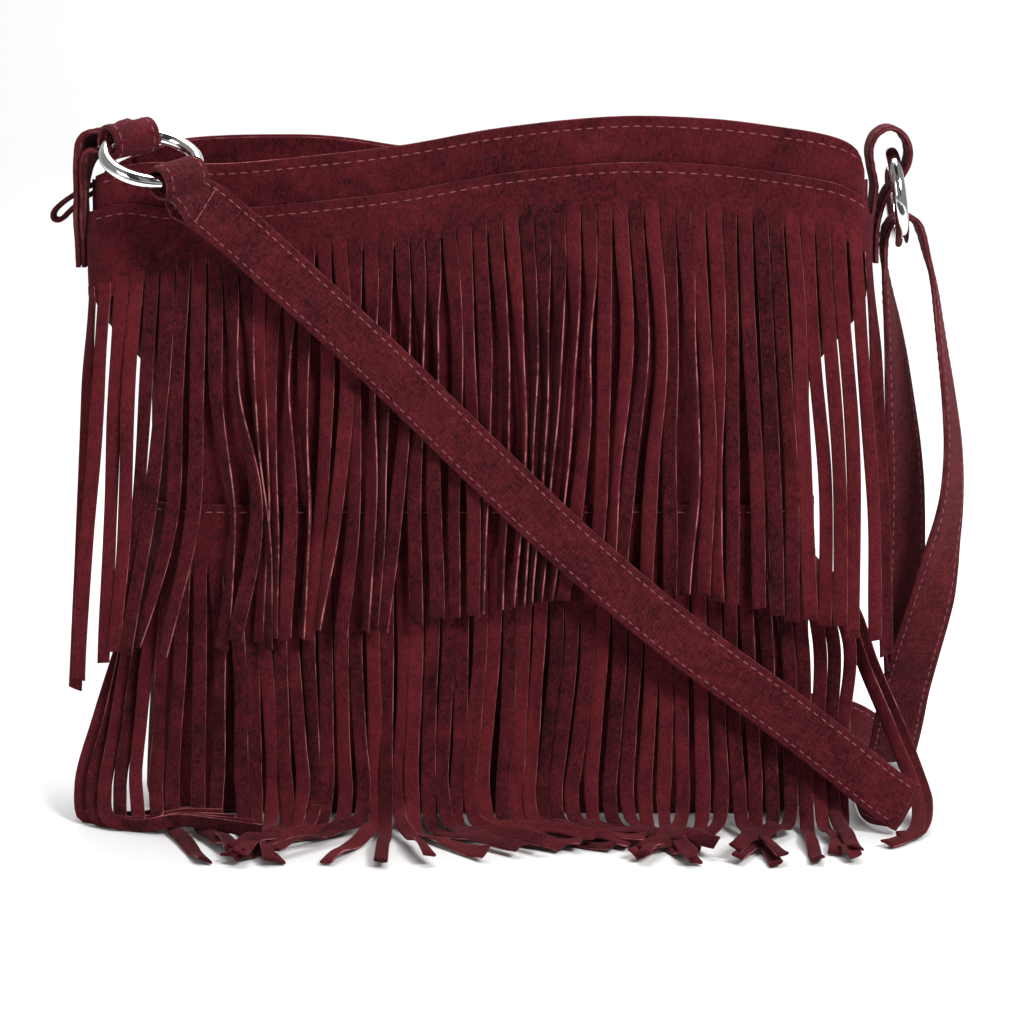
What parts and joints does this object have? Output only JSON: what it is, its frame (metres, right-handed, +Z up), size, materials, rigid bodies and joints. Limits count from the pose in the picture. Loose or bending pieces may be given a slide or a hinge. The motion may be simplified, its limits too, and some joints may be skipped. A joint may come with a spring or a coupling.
{
  "type": "fringed suede bag",
  "caption": "Burgundy suede shoulder bag with tiers of long cut fringe, a recessed zip, chrome side rings and a long suede strap looped behind it",
  "frame": {"origin": "centre of the base, on the floor", "axes": "+X along the bag to the viewer's right, -Y out of the fringed front, +Z up"},
  "size_m": [0.408, 0.2407, 0.3072],
  "materials": {
    "suede": "napped suede, matte, with paler raw cut edges",
    "lining_cloth": "plain woven lining",
    "zip_tape": "woven tape with coil teeth",
    "bright_metal": "polished"
  },
  "bodies": {
    "bag": {"front_panel": "suede", "back_panel": "suede", "gusset": "suede", "upper_fringe": "suede", "lower_fringe": "suede", "lining": "lining_cloth", "zip_facing_front": "suede", "zip_facing_back": "suede", "zip_tape_front": "zip_tape", "zip_tape_back": "zip_tape", "zip_stop_right": "bright_metal", "zip_stop_left": "bright_metal", "zip_end_tab": "suede", "left_ring_tab": "suede", "right_ring_tab": "suede", "shoulder_strap": "suede"},
    "slider": {"zip_slider": "bright_metal"},
    "puller": {"zip_puller": "bright_metal"},
    "ring_left": {"left_ring": "bright_metal"},
    "ring_right": {"right_ring": "bright_metal"}
  },
  "joints": [
    {"name": "zip_slide", "type": "slide", "parent": "bag", "child": "slider", "axis": [-1, 0, 0], "range_m": [0, 0.297]},
    {"name": "puller_hinge", "type": "hinge", "parent": "slider", "child": "puller", "pos_m": [0.1572, 0, 0.2796], "axis": [0, 1, 0], "range_deg": [0, 95]},
    {"name": "left_ring_hinge", "type": "hinge", "parent": "bag", "child": "ring_left", "pos_m": [-0.15344, -0.02153, 0.29822], "axis": [0.7835, 0.6064, 0.1361], "range_deg": [-95, 0], "deforming": ["left_ring_tab", "shoulder_strap"]},
    {"name": "right_ring_hinge", "type": "hinge", "parent": "bag", "child": "ring_right", "pos_m": [0.181, 0, 0.2898], "axis": [0, 1, 0], "range_deg": [-80, 5], "deforming": ["right_ring_tab", "shoulder_strap"]}
  ]
}
